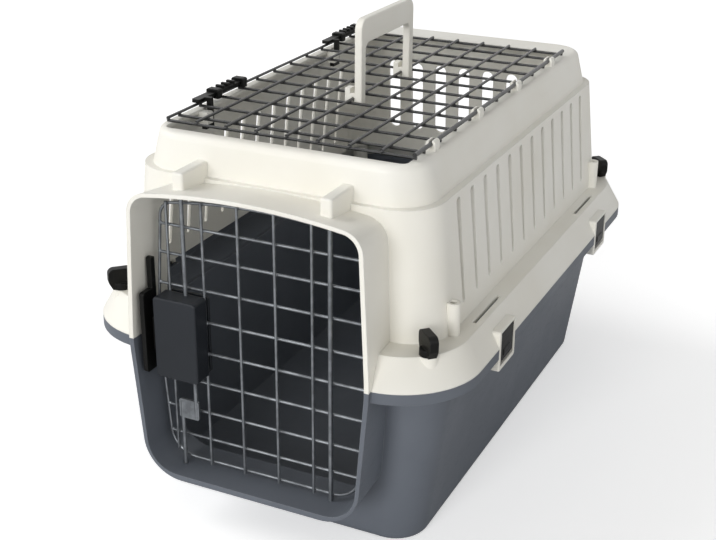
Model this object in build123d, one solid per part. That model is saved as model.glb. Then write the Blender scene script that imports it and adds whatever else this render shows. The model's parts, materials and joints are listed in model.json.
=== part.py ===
"""Two-door pet carrier of the 19-inch class.

Two thin moulded shells meet at a horizontal seam. The lower tub and the slotted upper shell share
a door tunnel at the front. A welded wire door hangs in the tunnel, a second welded grille closes
the opening in the top and carries the handle.

Millimetres. +Z is up, the front door faces -Y, +X is the carrier's right seen from its door.
The origin is on the ground under the middle of the carrier.
"""

from build123d import *
from collections import namedtuple
import os

os.makedirs("parts", exist_ok=True)

# Wall thickness and fits
WALL = 3.0
RUNNING_GAP = 0.07
CLEAR_GAP = 0.4

# A level is one rounded rectangle in plan: height, half width, front and back edge, corner radius
Level = namedtuple("Level", "z half front back radius")

# Upper shell levels
SEAM_Z = 150.0
FLANGE_Z = 171.5
LEDGE_Z = 268.5
TOP_Z = 297.0
SEAM = Level(SEAM_Z, 155.0, -243.0, 243.0, 62.0)
CREASE = Level(FLANGE_Z, 143.5, -228.0, 228.5, 50.0)
WALL_FOOT = Level(FLANGE_Z - WALL, 129.5, -206.0, 212.0, 32.0)
WALL_HEAD = Level(LEDGE_Z, 120.0, -204.0, 206.0, 32.0)
CAP_FOOT = Level(LEDGE_Z - WALL, 115.5, -200.0, 203.5, 31.0)
CAP_HEAD = Level(TOP_Z, 107.0, -197.5, 201.0, 28.0)
CAP_EDGE_RADIUS = 6.0

# Lower shell levels
FLOOR_THICKNESS = 3.5
FLANGE_SLOPE_Z = 133.0
BAND_Z = 141.5
BASE = Level(0.0, 115.0, -201.0, 201.0, 27.0)
TUB_HEAD = Level(FLANGE_SLOPE_Z + WALL, 133.0, -207.5, 212.0, 34.0)
FLANGE_ROOT = Level(FLANGE_SLOPE_Z, 136.0, -214.0, 219.0, 40.0)
BAND_FOOT = Level(BAND_Z, 155.0, -243.0, 243.0, 62.0)
BASE_EDGE_RADIUS = 6.0

# Top opening in the cap
TOP_OPENING = Level(TOP_Z, 97.0, -188.0, 167.0, 5.0)

# Slots in the walls
SIDE_SLOT_PITCH = 26.9
SIDE_SLOT_COUNT = 12
SIDE_SLOT_LOW_Z = 185.0
SIDE_SLOT_HIGH_Z = 264.5
SIDE_SLOT_LOW_WIDTH = 4.5
SIDE_SLOT_HIGH_WIDTH = 8.0
BACK_SLOT_PITCH = 24.6
BACK_SLOT_COUNT = 8
BACK_SLOT_WIDTH = 12.0
BACK_SLOT_LOW_Z = 192.0
BACK_SLOT_HIGH_Z = 261.0
SIDE_SLOT_RADII = (2.2, 2.2, 3.5, 3.5)

# Door tunnel: half widths at the bottom, the seam and the top. The apex is where the two sides of
# its roof would meet if the crown were not rounded.
Barrel = namedtuple("Barrel", "y low low_z middle high high_z apex corner_low corner_high")
LIP_Y = -246.5
FRONT_WALL_Y = -203.0
LIP_OUTER = Barrel(LIP_Y, 88.5, 36.5, 98.5, 92.5, 264.8, 278.0, 32.0, 17.0)
LIP_INNER = Barrel(LIP_Y - 0.5, 86.0, 41.0, 94.8, 89.3, 262.2, 275.0, 25.0, 14.0)
ROOT_OUTER = Barrel(FRONT_WALL_Y, 87.0, 36.5, 96.0, 91.0, 260.0, 272.5, 32.0, 17.0)
ROOT_INNER = Barrel(FRONT_WALL_Y + 8.0, 84.0, 41.0, 92.8, 87.5, 255.5, 268.0, 25.0, 14.0)
SEAM_BLEND_RADIUS = 160.0
ROOF_RADIUS = 520.0

# Front door wires
WIRE_R = 1.1
DOOR_ROD_R = 1.7
DOOR_BACK_Y = -223.0
DOOR_FRONT_Y = DOOR_BACK_Y - 2 * WIRE_R
HINGE_X = 58.5
HINGE_Y = DOOR_BACK_Y - WIRE_R - DOOR_ROD_R
DOOR_BOTTOM_Z = 45.2
DOOR_TOP_Z = 252.5
DOOR_APEX_Z = 263.5
DOOR_ROOF_RADIUS = 470.0
DOOR_BAR_ZS = (64.6, 87.4, 112.7, 138.1, 163.6, 189.2, 214.0, 236.7)
UPRIGHT_PITCH = 29.5
UPRIGHT_FIRST_X = -74.0
UPRIGHT_COUNT = 5
DOOR_HALF_LOW = 79.5
DOOR_HALF_MIDDLE = 87.5
DOOR_HALF_HIGH = 80.0
DOOR_CORNER_LOW = 22.0
DOOR_CORNER_HIGH = 12.0

# Bosses over the tunnel, for the hinge rod on the right and the upper bolt on the left
BOSS_X = 58.5
BOSS_HALF_WIDTH = 4.6
BOSS_FRONT_Y = -232.3
BOSS_BACK_Y = -198.5
BOSS_FOOT_Z = 262.0
BOSS_TOP_Z = 280.5
BOSS_CORNER_RADIUS = 2.0
BOSS_EDGE_RADIUS = 1.6
SILL_TOP_Z = 41.0
SILL_BOSS_FOOT_Z = 30.0
SILL_BOSS_TOP_Z = 40.0
SILL_BOSS_R = 5.0
ROD_TOP_Z = 276.5
ROD_FOOT_Z = 34.0

# Front latch
BOLT_R = 1.6
BOLT_Y = -228.5
BOLT_CHAMFER = 0.6
UPPER_BOLT_X = -58.5
UPPER_BOLT_FOOT_Z = 156.0
UPPER_BOLT_TIP_Z = 270.5
LOWER_BOLT_X = -66.0
LOWER_BOLT_STEM_X = -54.0
LOWER_BOLT_HEAD_Z = 134.0
LOWER_BOLT_TIP_Z = 34.0
CRANK_LOW_Z = 82.0
CRANK_HIGH_Z = 98.0
CRANK_BORDER = 2.6
CRANK_HALF_THICKNESS = 1.0
CRANK_LAP = 2.0
CRANK_CORNER_RADIUS = 2.0
HOUSING_LEFT = -79.0
HOUSING_RIGHT = -42.6
HOUSING_LOW_Z = 120.5
HOUSING_HIGH_Z = 185.5
HOUSING_FRONT_Y = -242.0
HOUSING_BACK_Y = -226.45
HOUSING_WALL = 2.0
HOUSING_CORNER_RADIUS = 3.0
HOUSING_EDGE_RADIUS = 1.5
PADDLE_LEFT = -89.6
PADDLE_THICKNESS = 4.0
PADDLE_LOW_Z = 122.0
PADDLE_HIGH_Z = 187.0
PADDLE_EAR_TOP_Z = 211.0
PADDLE_EAR_FRONT_Y = -231.5
PADDLE_FRONT_Y = HOUSING_FRONT_Y - 1.5
PADDLE_CORNER_RADIUS = 2.5
PADDLE_EDGE_RADIUS = 1.0
LATCH_SCREWS = ((-49.2, 127.0), (-49.2, 178.0), (-66.0, 127.0), (-66.0, 178.0))
SCREW_R = 1.2
SCREW_TIP_Y = HOUSING_BACK_Y - 7.0
SCREW_POST_R = 2.6
SCREW_HEAD_R = 2.6
SCREW_HEAD_HEIGHT = 1.4
BACK_PLATE_FRONT_Y = DOOR_BACK_Y + WIRE_R + 0.05
BACK_PLATE_THICKNESS = 2.0
STEM_FRONT_Y = -233.2
STEM_BACK_Y = -231.4
STEM_LOW_Z = 138.0
STEM_HIGH_Z = 164.0
STEM_END_X = -66.0
STEM_ROOM_Y = 0.2
STEM_ROOM_Z = 0.3
SPRING_FOOT_Z = 141.0
SPRING_BENDS = ((-60.0, 146.0), (-49.0, 151.0))
SPRING_THICKNESS = 1.0
SPRING_WIDTH = 1.6

# Top grille
TOP_WIRE_LOW_Z = 298.9
TOP_WIRE_HIGH_Z = TOP_WIRE_LOW_Z + 2 * WIRE_R
TOP_ROD_R = 1.6
TOP_HINGE_X = 99.8
TOP_HINGE_Z = TOP_WIRE_LOW_Z + WIRE_R + TOP_ROD_R
LONG_WIRE_PITCH = 24.9
CROSS_WIRE_PITCH = 29.26
CROSS_WIRE_FIRST_Y = -163.2
CROSS_WIRE_COUNT = 11
GRILLE_FRONT_Y = -178.0
GRILLE_BACK_Y = 152.0
GRILLE_SIDE_X = -4 * LONG_WIRE_PITCH
HOOK_WIDTH = 8.0
HOOK_HALF_DEPTH = 3.8
HOOK_RISE = 2.8
HOOK_EDGE_RADIUS = 2.4
HOOK_THROAT_HALF = 1.2
HOOK_YS = (-148.6, -60.8, 27.0, 114.8)
KEEPER_YS = (-137.0, 81.0)
KEEPER_X = -93.0
TOE_Z = 282.5
SLIDE_Z = TOP_WIRE_HIGH_Z + WIRE_R
SLIDE_HALF_WIDTH = 3.4
SLIDE_THICKNESS = 2.7
SLIDE_REACH = (-4.0, 70.0)
SLIDE_LIFT = 0.6
SLIDE_LEG = (5.0, 8.5)
SLIDE_TOE_START = -3.0
TOE_THICKNESS = 3.0
TOE_HALF_WIDTH = 2.0
THUMB_RIDGES = (32.5, 40.5, 48.5)
THUMB_RIDGE_HALF = 1.2
THUMB_RIDGE_HEIGHT = 5.4
GUIDE_OFFSETS = (24.0, 62.0)
GUIDE_HALF_WIDTH = 5.5
GUIDE_HALF_LENGTH = 3.0
GUIDE_HEIGHT = 5.4
GUIDE_EDGE_RADIUS = 1.5
GUIDE_SLOT_HALF = 3.7
GUIDE_SLOT = (0.3, 3.6)
KEEPER_HALF_LENGTH = 4.0
KEEPER_EDGE_RADIUS = 1.5

# Handle, with feet that snap over the middle wire of the top grille
HANDLE_LEGS_Y = (-66.0, 26.0)
LEG_WIDTH = 8.0
LEG_INNER_X = 1.4
LEG_OUTER_X = 7.2
PRONG_OUTER_X = -7.0
PRONG_INNER_X = -2.4
PRONG_TOP_Z = 309.0
FOOT_Z = 296.5
HANDLE_EYE_R = 4.4
HANDLE_TOP_Z = 363.0
CROSSBAR_DEPTH = 19.5
HANDLE_SHOULDER_RADIUS = 9.0
HANDLE_WINDOW_RADIUS = 6.0
HANDLE_EDGE_RADIUS = 1.0
HANDLE_THROAT_HALF = 0.85

# Rim fittings
KNOB_X = 127.0
KNOB_Y = 212.0
KNOB_FOOT_Z = FLANGE_Z + 0.1
KNOB_HALF_WIDTH = 10.5
KNOB_THICKNESS = 6.4
KNOB_HEIGHT = 16.5
KNOB_FOOT_HALF_WIDTH = 7.5
KNOB_SHOULDER = 6.0
KNOB_RADII = (0, 0, 2, 4.5, 4.5, 2)
KNOB_FOOT_R = 6.5
KNOB_FOOT_HEIGHT = 5.0
KNOB_BOSS_R = 7.2
BOLT_SHANK_R = 2.5
BOLT_HEAD_R = 4.8
BOLT_HEAD_HEIGHT = 3.0
BOLT_HEAD_ROOM_R = 5.4
BOLT_BOSS_R = 7.0
BOLT_TOP_Z = 178.0
RIM_CUT_LOW_Z = 120.0
RIM_CUT_OUTER_X = 160.0
CLIP_Y = 125.0
CLIP_WIDTH = 28.0
CLIP_INNER_X = 150.0
CLIP_OUTER_X = 154.6
CLIP_EDGE_RADIUS = 1.0
CLIP_GRIP_HALF_WIDTH = 7.0
CLIP_GRIP_RISE = 0.6
CLIP_GRIP_HEIGHTS = (4.0, 9.0)
CLIP_FRAME_BORDER = 3.0
CLIP_FRAME_INNER_X = 148.2
CLIP_FRAME_OUTER_X = 155.2
CLIP_FRAME_CORNER_RADIUS = 2.5
CLIP_WINDOW_INNER_X = 144.0
CLIP_ROOM_BELOW = 1.7
CLIP_ROOM_ABOVE = 1.2
CLIP_FRAME_LOW_Z = 130.5
CLIP_FRAME_HIGH_Z = 163.0
CLIP_LOW_Z = 136.2
CLIP_HIGH_Z = 160.2
CLIP_LIP_X = 145.6
CLIP_LIP_HEIGHT = 2.0
CLIP_LIP_GAP = 0.3
CATCH_X = 147.6
CATCH_DEPTH = 4.1
CLIP_PIN_X = 152.0
CLIP_PIN_Z = 157.5
CLIP_PIN_R = 1.25
CLIP_EYE_R = 2.6
STRAP_POST_X = 130.0
STRAP_POST_Y = 175.0
STRAP_POST_R = 5.2
STRAP_POST_TOP_Z = 196.5
STRAP_BORE_R = 2.6
STRAP_BORE_FOOT_Z = 180.0
STRAP_SLIT_X = 137.5
STRAP_SLIT_Y = 124.5
STRAP_SLIT_HALF_WIDTH = 1.3
STRAP_SLIT_HALF_LENGTH = 26.5


def plan(level):
    """Rounded rectangle of one level."""
    width = 2 * level.half
    length = level.back - level.front
    middle = (level.back + level.front) / 2
    return Pos(0, middle, level.z) * RectangleRounded(width, length, level.radius)


def inset(level, amount, z):
    """The same level moved inwards by a wall thickness and put at height z."""
    front = level.front + amount
    back = level.back - amount
    return Level(z, level.half - amount, front, back, level.radius - amount)


def tapered(low, high):
    """Solid between two levels."""
    return loft([plan(low), plan(high)], ruled=True)


def box(x0, x1, y0, y1, z0, z1):
    """Box from its limits along X, Y and Z."""
    return Pos((x0 + x1) / 2, (y0 + y1) / 2, (z0 + z1) / 2) * Box(x1 - x0, y1 - y0, z1 - z0)


def rod_z(x, y, z0, z1, radius):
    """Upright round bar."""
    return Pos(x, y, (z0 + z1) / 2) * Cylinder(radius, z1 - z0)


def rod_x(x0, x1, y, z, radius):
    """Round bar across the carrier."""
    return Pos((x0 + x1) / 2, y, z) * Rot(0, 90, 0) * Cylinder(radius, x1 - x0)


def rod_y(x, y0, y1, z, radius):
    """Round bar along the carrier."""
    return Pos(x, (y0 + y1) / 2, z) * Rot(90, 0, 0) * Cylinder(radius, y1 - y0)


def barrel_face(b):
    """Outline of the door tunnel on the plane y = b.y: barrel sides, rounded corners, arched top."""
    points = [
        (-b.low, b.low_z),
        (b.low, b.low_z),
        (b.middle, SEAM_Z),
        (b.high, b.high_z),
        (0, b.apex),
        (-b.high, b.high_z),
        (-b.middle, SEAM_Z),
    ]
    radii = [
        b.corner_low,
        b.corner_low,
        SEAM_BLEND_RADIUS,
        b.corner_high,
        ROOF_RADIUS,
        b.corner_high,
        SEAM_BLEND_RADIUS,
    ]
    outline = make_face(FilletPolyline(*points, radius=radii, close=True))
    return Plane.XZ.offset(-b.y) * outline


def above_seam(shape):
    """The part of a shape over the seam."""
    return shape & box(-200, 200, -300, 300, SEAM_Z, 400)


def below_seam(shape):
    """The part of a shape under the seam."""
    return shape & box(-200, 200, -300, 300, -10, SEAM_Z)


def tunnel_outer():
    """Outside of the door tunnel."""
    return loft([barrel_face(LIP_OUTER), barrel_face(ROOT_OUTER)], ruled=True)


def tunnel_inner():
    """Inside of the door tunnel, carried on through the front wall."""
    return loft([barrel_face(LIP_INNER), barrel_face(ROOT_INNER)], ruled=True)


def slot(width, low, high, depth):
    """Upright slot with round ends, cut along local Z."""
    return extrude(SlotOverall(high - low, width, rotation=90), depth / 2, both=True)


def row(count, pitch):
    """Positions of a row of things, centred on zero."""
    return [(i - (count - 1) / 2) * pitch for i in range(count)]


def front_boss(x):
    """Narrow block on the tunnel roof that runs back to the cap."""
    half = BOSS_HALF_WIDTH
    boss = box(x - half, x + half, BOSS_FRONT_Y, BOSS_BACK_Y, BOSS_FOOT_Z, BOSS_TOP_Z)
    boss = fillet(boss.edges().filter_by(Axis.Z).group_by(Axis.Y)[0], BOSS_CORNER_RADIUS)
    return fillet(boss.faces().sort_by(Axis.Z)[-1].edges(), BOSS_EDGE_RADIUS)


def hinge_hook(y):
    """Moulded saddle on the cap that the top hinge rod snaps into."""
    block = box(TOP_HINGE_X - HOOK_HALF_DEPTH, TOP_HINGE_X + HOOK_HALF_DEPTH,
                y - HOOK_WIDTH / 2, y + HOOK_WIDTH / 2, TOP_Z - 1, TOP_HINGE_Z + HOOK_RISE)
    block = fillet(block.edges().filter_by(Axis.Y).group_by(Axis.Z)[-1], HOOK_EDGE_RADIUS)
    bore = rod_y(TOP_HINGE_X, y - HOOK_WIDTH, y + HOOK_WIDTH, TOP_HINGE_Z, TOP_ROD_R + RUNNING_GAP)
    throat = box(TOP_HINGE_X - HOOK_THROAT_HALF, TOP_HINGE_X + HOOK_THROAT_HALF,
                 y - HOOK_WIDTH, y + HOOK_WIDTH, TOP_HINGE_Z, TOP_HINGE_Z + 2 * HOOK_RISE)
    return block - bore - throat


def corners():
    """Signs of the four corners of the rim."""
    return [(sx, sy) for sx in (-1, 1) for sy in (-1, 1)]


def mirrored(shape, sx):
    """A shape made for the right side, or its mirror image on the left side."""
    return shape if sx > 0 else mirror(shape, Plane.YZ)


def clip_frame(sx, sy):
    """Tab that hangs below the skirt and frames one side clip."""
    y = sy * CLIP_Y
    half = CLIP_WIDTH / 2 + CLEAR_GAP + CLIP_FRAME_BORDER
    tab = box(CLIP_FRAME_INNER_X, CLIP_FRAME_OUTER_X, y - half, y + half,
              CLIP_FRAME_LOW_Z, CLIP_FRAME_HIGH_Z)
    tab = fillet(tab.edges().filter_by(Axis.X), CLIP_FRAME_CORNER_RADIUS)
    tab = fillet(tab.faces().sort_by(Axis.X)[-1].edges(), CLIP_EDGE_RADIUS)
    return mirrored(tab, sx)


def clip_window(sx, sy):
    """Opening in the tab that the clip swings in."""
    y = sy * CLIP_Y
    half = CLIP_WIDTH / 2 + CLEAR_GAP
    window = box(CLIP_WINDOW_INNER_X, RIM_CUT_OUTER_X, y - half, y + half,
                 CLIP_LOW_Z - CLIP_ROOM_BELOW, CLIP_HIGH_Z + CLIP_ROOM_ABOVE)
    return mirrored(window, sx)


def pin_bores():
    """Seats of the four clip pins in the tabs."""
    reach = CLIP_WIDTH / 2 + CLIP_FRAME_BORDER
    return [
        rod_y(sx * CLIP_PIN_X, sy * CLIP_Y - reach, sy * CLIP_Y + reach, CLIP_PIN_Z, CLIP_PIN_R)
        for sx, sy in corners()
    ]


def side_slot():
    """Wall slot that narrows downwards, cut through both side walls at once."""
    low = SIDE_SLOT_LOW_WIDTH / 2
    high = SIDE_SLOT_HIGH_WIDTH / 2
    points = [
        (-low, SIDE_SLOT_LOW_Z),
        (low, SIDE_SLOT_LOW_Z),
        (high, SIDE_SLOT_HIGH_Z),
        (-high, SIDE_SLOT_HIGH_Z),
    ]
    outline = make_face(FilletPolyline(*points, radius=list(SIDE_SLOT_RADII), close=True))
    return extrude(Plane.YZ * outline, 150, both=True)


def upper_shell():
    """Slotted cream shell: skirt, flange, wall, ledge, cap, half of the tunnel and its bosses."""
    skirt = tapered(SEAM, CREASE)
    wall = tapered(WALL_FOOT, WALL_HEAD)
    cap = tapered(CAP_FOOT, CAP_HEAD)
    cap = fillet(cap.faces().sort_by(Axis.Z)[-1].edges(), CAP_EDGE_RADIUS)
    shell = skirt + wall + cap

    skirt_void = tapered(inset(SEAM, WALL, SEAM_Z), inset(CREASE, WALL, FLANGE_Z - WALL))
    wall_void = tapered(inset(WALL_FOOT, WALL, FLANGE_Z - WALL), inset(WALL_HEAD, WALL, LEDGE_Z - WALL))
    cap_void = tapered(inset(CAP_FOOT, WALL, LEDGE_Z - WALL), inset(CAP_HEAD, WALL, TOP_Z - WALL))
    opening = extrude(plan(TOP_OPENING), 10, both=True)
    inside = tunnel_inner()
    shell = shell - skirt_void - wall_void - cap_void - opening

    tunnel = above_seam(tunnel_outer())
    bosses = front_boss(BOSS_X) + front_boss(-BOSS_X)
    shell = shell + tunnel + bosses - inside

    for sx, sy in corners():
        shell += rod_z(sx * KNOB_X, sy * KNOB_Y, SEAM_Z, FLANGE_Z, KNOB_BOSS_R)
        shell += rod_z(sx * STRAP_POST_X, sy * STRAP_POST_Y, FLANGE_Z - 1, STRAP_POST_TOP_Z,
                       STRAP_POST_R)
        shell += clip_frame(sx, sy)
    for y in HOOK_YS:
        shell += hinge_hook(y)

    cuts = [clip_window(sx, sy) for sx, sy in corners()] + pin_bores()
    shank_hole = BOLT_SHANK_R + CLEAR_GAP
    for sx, sy in corners():
        cuts.append(rod_z(sx * KNOB_X, sy * KNOB_Y, SEAM_Z - 1, FLANGE_Z + 1, shank_hole))
        cuts.append(rod_z(sx * STRAP_POST_X, sy * STRAP_POST_Y, STRAP_BORE_FOOT_Z,
                          STRAP_POST_TOP_Z + 1, STRAP_BORE_R))
        x, y = sx * STRAP_SLIT_X, sy * STRAP_SLIT_Y
        cuts.append(box(x - STRAP_SLIT_HALF_WIDTH, x + STRAP_SLIT_HALF_WIDTH,
                        y - STRAP_SLIT_HALF_LENGTH, y + STRAP_SLIT_HALF_LENGTH,
                        FLANGE_Z - 2 * WALL, FLANGE_Z + WALL))
    cuts += [Pos(0, y, 0) * side_slot() for y in row(SIDE_SLOT_COUNT, SIDE_SLOT_PITCH)]
    middle = (BACK_SLOT_LOW_Z + BACK_SLOT_HIGH_Z) / 2
    vent = slot(BACK_SLOT_WIDTH, BACK_SLOT_LOW_Z, BACK_SLOT_HIGH_Z, 40)
    for x in row(BACK_SLOT_COUNT, BACK_SLOT_PITCH):
        cuts.append(Pos(x, WALL_HEAD.back, middle) * Plane.XZ.location * vent)
    cuts.append(rod_z(BOSS_X, HINGE_Y, DOOR_TOP_Z, ROD_TOP_Z + 1, DOOR_ROD_R + RUNNING_GAP))
    cuts.append(rod_z(UPPER_BOLT_X, BOLT_Y, DOOR_TOP_Z, UPPER_BOLT_TIP_Z + 3, BOLT_R + CLEAR_GAP))
    return shell - cuts


def clip_recess(sx, sy):
    """Step in the tub's rim that the clip's tab hangs in."""
    y = sy * CLIP_Y
    half = CLIP_WIDTH / 2 + CLIP_FRAME_BORDER + 1.0
    return mirrored(box(CATCH_X, RIM_CUT_OUTER_X, y - half, y + half, RIM_CUT_LOW_Z, SEAM_Z + 1), sx)


def clip_catch(sx, sy):
    """Block in the rim that closes the recess and holds the clip's lip."""
    y = sy * CLIP_Y
    half = CLIP_WIDTH / 2 + CLIP_FRAME_BORDER
    low = CLIP_LOW_Z + CLIP_LIP_HEIGHT + CLIP_LIP_GAP
    return mirrored(box(CATCH_X - CATCH_DEPTH, CATCH_X, y - half, y + half, low, SEAM_Z), sx)


def clip_notch(sx, sy):
    """Notch under the catch that the clip's lip turns into."""
    y = sy * CLIP_Y
    half = CLIP_WIDTH / 2 + CLEAR_GAP
    high = CLIP_LOW_Z + CLIP_LIP_HEIGHT + CLIP_LIP_GAP
    notch = box(CLIP_LIP_X - 2 * CLEAR_GAP, CATCH_X + 1, y - half, y + half, CLIP_LOW_Z - 3, high)
    return mirrored(notch, sx)


def lower_shell():
    """Grey tub: floor, walls, hollow rim, lower half of the tunnel with its sill."""
    tub = tapered(BASE, TUB_HEAD)
    tub = fillet(tub.faces().sort_by(Axis.Z)[0].edges(), BASE_EDGE_RADIUS)
    slope = tapered(FLANGE_ROOT, BAND_FOOT)
    band = extrude(plan(BAND_FOOT), SEAM_Z - BAND_Z)
    shell = tub + slope + band

    tub_void = tapered(inset(BASE, WALL, FLOOR_THICKNESS), inset(TUB_HEAD, WALL, TUB_HEAD.z + WALL))
    band_floor = inset(BAND_FOOT, WALL, BAND_Z + WALL)
    slope_void = tapered(inset(FLANGE_ROOT, WALL, FLANGE_ROOT.z + WALL), band_floor)
    band_void = extrude(plan(band_floor), SEAM_Z - BAND_Z)
    shell = shell - tub_void - slope_void - band_void

    tunnel = below_seam(tunnel_outer())
    shell = shell + tunnel
    shell += rod_z(HINGE_X, HINGE_Y, SILL_BOSS_FOOT_Z, SILL_BOSS_TOP_Z, SILL_BOSS_R)
    shell += rod_z(LOWER_BOLT_X, BOLT_Y, SILL_BOSS_FOOT_Z, SILL_BOSS_TOP_Z, SILL_BOSS_R)
    shell = shell - tunnel_inner()
    for sx, sy in corners():
        shell += rod_z(sx * KNOB_X, sy * KNOB_Y, BAND_Z - 2, SEAM_Z, BOLT_BOSS_R)

    shank_hole = BOLT_SHANK_R + CLEAR_GAP
    cuts = [rod_z(sx * KNOB_X, sy * KNOB_Y, RIM_CUT_LOW_Z, SEAM_Z + 1, shank_hole)
            for sx, sy in corners()]
    cuts += [rod_z(sx * KNOB_X, sy * KNOB_Y, RIM_CUT_LOW_Z, BAND_Z, BOLT_HEAD_ROOM_R)
             for sx, sy in corners()]
    cuts += [clip_recess(sx, sy) for sx, sy in corners()]
    cuts.append(rod_z(HINGE_X, HINGE_Y, ROD_FOOT_Z - 0.5, SILL_TOP_Z + 5, DOOR_ROD_R + RUNNING_GAP))
    cuts.append(rod_z(LOWER_BOLT_X, BOLT_Y, LOWER_BOLT_TIP_Z - 1, SILL_TOP_Z + 5, BOLT_R + CLEAR_GAP))
    shell = shell - cuts + [clip_catch(sx, sy) for sx, sy in corners()]
    return shell - [clip_notch(sx, sy) for sx, sy in corners()]


def wire_loop(points, radii, plane, radius):
    """Closed bent wire along a filleted outline on a plane."""
    path = plane * FilletPolyline(*points, radius=radii, close=True)
    start = path.edges()[0]
    section = Plane(origin=start @ 0.5, z_dir=start % 0.5) * Circle(radius)
    return sweep(section, path=path)


def door_half_at(z):
    """Half width of the front door's outline at a height."""
    if z < SEAM_Z:
        share = (z - DOOR_BOTTOM_Z) / (SEAM_Z - DOOR_BOTTOM_Z)
        return DOOR_HALF_LOW + share * (DOOR_HALF_MIDDLE - DOOR_HALF_LOW)
    share = (z - SEAM_Z) / (DOOR_TOP_Z - SEAM_Z)
    return DOOR_HALF_MIDDLE + share * (DOOR_HALF_HIGH - DOOR_HALF_MIDDLE)


def door_top_at(x):
    """Height of the front door's arched top wire."""
    rise = DOOR_APEX_Z - DOOR_TOP_Z
    crown = DOOR_APEX_Z - DOOR_ROOF_RADIUS * (rise / DOOR_HALF_HIGH) ** 2 / 2
    return crown - x * x / (2 * DOOR_ROOF_RADIUS)


def front_door_frame():
    """Bent wire frame of the front door, following the tunnel's outline."""
    points = [
        (-DOOR_HALF_LOW, DOOR_BOTTOM_Z),
        (DOOR_HALF_LOW, DOOR_BOTTOM_Z),
        (DOOR_HALF_MIDDLE, SEAM_Z),
        (DOOR_HALF_HIGH, DOOR_TOP_Z),
        (0, DOOR_APEX_Z),
        (-DOOR_HALF_HIGH, DOOR_TOP_Z),
        (-DOOR_HALF_MIDDLE, SEAM_Z),
    ]
    radii = [DOOR_CORNER_LOW, DOOR_CORNER_LOW, SEAM_BLEND_RADIUS, DOOR_CORNER_HIGH,
             DOOR_ROOF_RADIUS, DOOR_CORNER_HIGH, SEAM_BLEND_RADIUS]
    return wire_loop(points, radii, Plane.XZ.offset(-DOOR_BACK_Y), WIRE_R)


def front_door_grille():
    """Wires welded to the door's frame: level bars inside it, uprights lapped over the front."""
    wires = []
    for z in DOOR_BAR_ZS:
        reach = door_half_at(z) - WIRE_R
        wires.append(rod_x(-reach, reach, DOOR_BACK_Y, z, WIRE_R))
    for i in range(UPRIGHT_COUNT):
        x = UPRIGHT_FIRST_X + i * UPRIGHT_PITCH
        low = DOOR_BOTTOM_Z - 2.0 if i else 51.0
        wires.append(rod_z(x, DOOR_FRONT_Y, low, door_top_at(x) + 1.5, WIRE_R))
    return Compound(children=wires)


def front_door_hinge_rod():
    return rod_z(HINGE_X, HINGE_Y, ROD_FOOT_Z, ROD_TOP_Z, DOOR_ROD_R)


def latch_housing():
    """Tray clipped over the front of the door wires, open at its back."""
    tray = box(HOUSING_LEFT, HOUSING_RIGHT, HOUSING_FRONT_Y, HOUSING_BACK_Y,
               HOUSING_LOW_Z, HOUSING_HIGH_Z)
    tray = fillet(tray.edges().filter_by(Axis.Y), HOUSING_CORNER_RADIUS)
    tray = fillet(tray.faces().sort_by(Axis.Y)[0].edges(), HOUSING_EDGE_RADIUS)
    hollow = box(HOUSING_LEFT + HOUSING_WALL, HOUSING_RIGHT - HOUSING_WALL,
                 HOUSING_FRONT_Y + HOUSING_WALL, HOUSING_BACK_Y + 1,
                 HOUSING_LOW_Z + HOUSING_WALL, HOUSING_HIGH_Z - HOUSING_WALL)
    posts = [rod_y(x, HOUSING_FRONT_Y + 1, HOUSING_BACK_Y, z, SCREW_POST_R) for x, z in LATCH_SCREWS]
    tray = tray - hollow + posts
    tray -= [rod_y(x, SCREW_TIP_Y - 1, HOUSING_BACK_Y + 1, z, SCREW_R) for x, z in LATCH_SCREWS]
    reach = 2 * HOUSING_WALL
    hole = BOLT_R + RUNNING_GAP
    tray -= rod_z(UPPER_BOLT_X, BOLT_Y, HOUSING_HIGH_Z - reach, HOUSING_HIGH_Z + reach, hole)
    tray -= rod_z(LOWER_BOLT_STEM_X, BOLT_Y, HOUSING_LOW_Z - reach, HOUSING_LOW_Z + reach, hole)
    tray -= box(HOUSING_LEFT - 1, HOUSING_LEFT + HOUSING_WALL + 1,
                STEM_FRONT_Y - STEM_ROOM_Y, STEM_BACK_Y + STEM_ROOM_Y,
                STEM_LOW_Z - STEM_ROOM_Z, STEM_HIGH_Z + STEM_ROOM_Z)
    return tray


def latch_back_plate():
    """Plate behind the wires that the housing is screwed to."""
    front = BACK_PLATE_FRONT_Y
    back = front + BACK_PLATE_THICKNESS
    plate = box(HOUSING_LEFT + 1, HOUSING_RIGHT - 1, front, back, HOUSING_LOW_Z + 1, HOUSING_HIGH_Z - 1)
    plate = fillet(plate.edges().filter_by(Axis.Y), HOUSING_CORNER_RADIUS)
    plate += [rod_y(x, HOUSING_BACK_Y, front + 1, z, SCREW_POST_R) for x, z in LATCH_SCREWS]
    plate -= [rod_y(x, SCREW_TIP_Y, back + 1, z, SCREW_R + CLEAR_GAP / 2) for x, z in LATCH_SCREWS]
    return plate


def latch_screws():
    """Four pan-head screws through the back plate into the housing."""
    back = BACK_PLATE_FRONT_Y + BACK_PLATE_THICKNESS
    screws = []
    for x, z in LATCH_SCREWS:
        shank = rod_y(x, SCREW_TIP_Y, back, z, SCREW_R - 0.05)
        head = rod_y(x, back, back + SCREW_HEAD_HEIGHT, z, SCREW_HEAD_R)
        screws.append(shank + head)
    return Compound(children=screws)


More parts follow.
